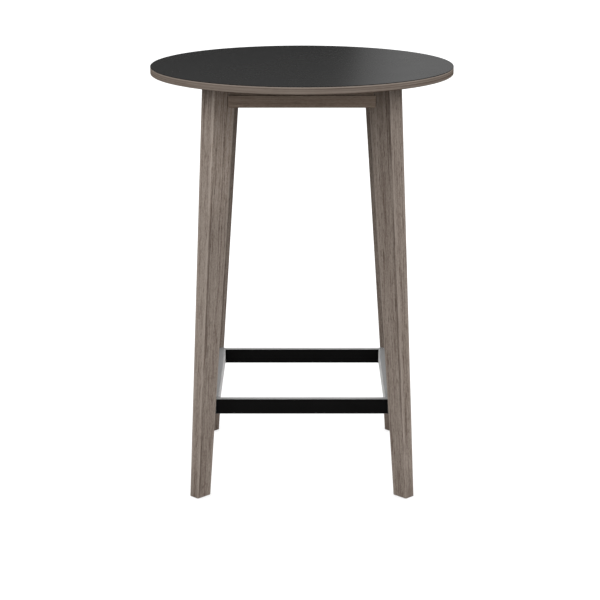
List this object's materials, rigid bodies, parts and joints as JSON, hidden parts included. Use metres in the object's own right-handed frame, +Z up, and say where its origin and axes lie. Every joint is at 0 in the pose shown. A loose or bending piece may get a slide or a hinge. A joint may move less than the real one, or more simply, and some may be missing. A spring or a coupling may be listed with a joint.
{
  "type": "standing meeting table",
  "caption": "Standing-height round meeting table with a dark laminate top, splayed tapered wood legs, an apron frame and a black square foot rail.",
  "frame": {"origin": "on the floor under the middle of the round top", "axes": "+Z up; -Y is the front that the picture shows; +X is to the right of someone looking at that front"},
  "size_m": [0.8, 0.8, 1.11],
  "materials": {
    "dark_laminate": "charcoal laminate, fine matt texture with a soft sheen",
    "board": "raw fibreboard",
    "backing": "plain balancing sheet",
    "grey_oak": "grey-brown oak with a matt lacquer",
    "beech": "planed, unlacquered",
    "black_paint": "black paint with a satin gloss",
    "steel": "zinc plated",
    "black_plastic": "moulded"
  },
  "bodies": {
    "table": {"top_laminate": "dark_laminate", "tabletop_core": "board", "backing_laminate": "backing", "edge_band": "grey_oak", "front_right_leg": "grey_oak", "front_right_corner_block": "beech", "front_right_nut_bar": "steel", "front_right_upper_bolt": "steel", "front_right_lower_bolt": "steel", "front_right_top_screw_a": "steel", "front_right_top_screw_b": "steel", "front_right_rail_stud": "black_paint", "front_right_glide_socket": "steel", "rear_right_leg": "grey_oak", "rear_right_corner_block": "beech", "rear_right_nut_bar": "steel", "rear_right_upper_bolt": "steel", "rear_right_lower_bolt": "steel", "rear_right_top_screw_a": "steel", "rear_right_top_screw_b": "steel", "rear_right_rail_stud": "black_paint", "rear_right_glide_socket": "steel", "rear_left_leg": "grey_oak", "rear_left_corner_block": "beech", "rear_left_nut_bar": "steel", "rear_left_upper_bolt": "steel", "rear_left_lower_bolt": "steel", "rear_left_top_screw_a": "steel", "rear_left_top_screw_b": "steel", "rear_left_rail_stud": "black_paint", "rear_left_glide_socket": "steel", "front_left_leg": "grey_oak", "front_left_corner_block": "beech", "front_left_nut_bar": "steel", "front_left_upper_bolt": "steel", "front_left_lower_bolt": "steel", "front_left_top_screw_a": "steel", "front_left_top_screw_b": "steel", "front_left_rail_stud": "black_paint", "front_left_glide_socket": "steel", "front_apron": "grey_oak", "front_foot_rail": "black_paint", "right_apron": "grey_oak", "right_foot_rail": "black_paint", "rear_apron": "grey_oak", "rear_foot_rail": "black_paint", "left_apron": "grey_oak", "left_foot_rail": "black_paint"},
    "front_right_pad": {"front_right_glide_pad": "black_plastic"},
    "front_right_stem": {"front_right_glide_stem": "steel"},
    "rear_right_pad": {"rear_right_glide_pad": "black_plastic"},
    "rear_right_stem": {"rear_right_glide_stem": "steel"},
    "rear_left_pad": {"rear_left_glide_pad": "black_plastic"},
    "rear_left_stem": {"rear_left_glide_stem": "steel"},
    "front_left_pad": {"front_left_glide_pad": "black_plastic"},
    "front_left_stem": {"front_left_glide_stem": "steel"}
  },
  "joints": [
    {"name": "front_right_glide_lift", "type": "slide", "parent": "table", "child": "front_right_pad", "axis": [0, 0, -1], "range_m": [0, 0.01]},
    {"name": "front_right_glide_turn", "type": "hinge", "parent": "front_right_pad", "child": "front_right_stem", "pos_m": [0.2699, -0.2699, 0.02], "axis": [0, 0, -1], "range_deg": [0, 2880]},
    {"name": "rear_right_glide_lift", "type": "slide", "parent": "table", "child": "rear_right_pad", "axis": [0, 0, -1], "range_m": [0, 0.01]},
    {"name": "rear_right_glide_turn", "type": "hinge", "parent": "rear_right_pad", "child": "rear_right_stem", "pos_m": [0.2699, 0.2699, 0.02], "axis": [0, 0, -1], "range_deg": [0, 2880]},
    {"name": "rear_left_glide_lift", "type": "slide", "parent": "table", "child": "rear_left_pad", "axis": [0, 0, -1], "range_m": [0, 0.01]},
    {"name": "rear_left_glide_turn", "type": "hinge", "parent": "rear_left_pad", "child": "rear_left_stem", "pos_m": [-0.2699, 0.2699, 0.02], "axis": [0, 0, -1], "range_deg": [0, 2880]},
    {"name": "front_left_glide_lift", "type": "slide", "parent": "table", "child": "front_left_pad", "axis": [0, 0, -1], "range_m": [0, 0.01]},
    {"name": "front_left_glide_turn", "type": "hinge", "parent": "front_left_pad", "child": "front_left_stem", "pos_m": [-0.2699, -0.2699, 0.02], "axis": [0, 0, -1], "range_deg": [0, 2880]}
  ],
  "couplings": [
    {"joint": "front_right_glide_lift", "follows": "front_right_glide_turn", "m_per_rad": 0.00019894},
    {"joint": "rear_right_glide_lift", "follows": "rear_right_glide_turn", "m_per_rad": 0.00019894},
    {"joint": "rear_left_glide_lift", "follows": "rear_left_glide_turn", "m_per_rad": 0.00019894},
    {"joint": "front_left_glide_lift", "follows": "front_left_glide_turn", "m_per_rad": 0.00019894}
  ]
}
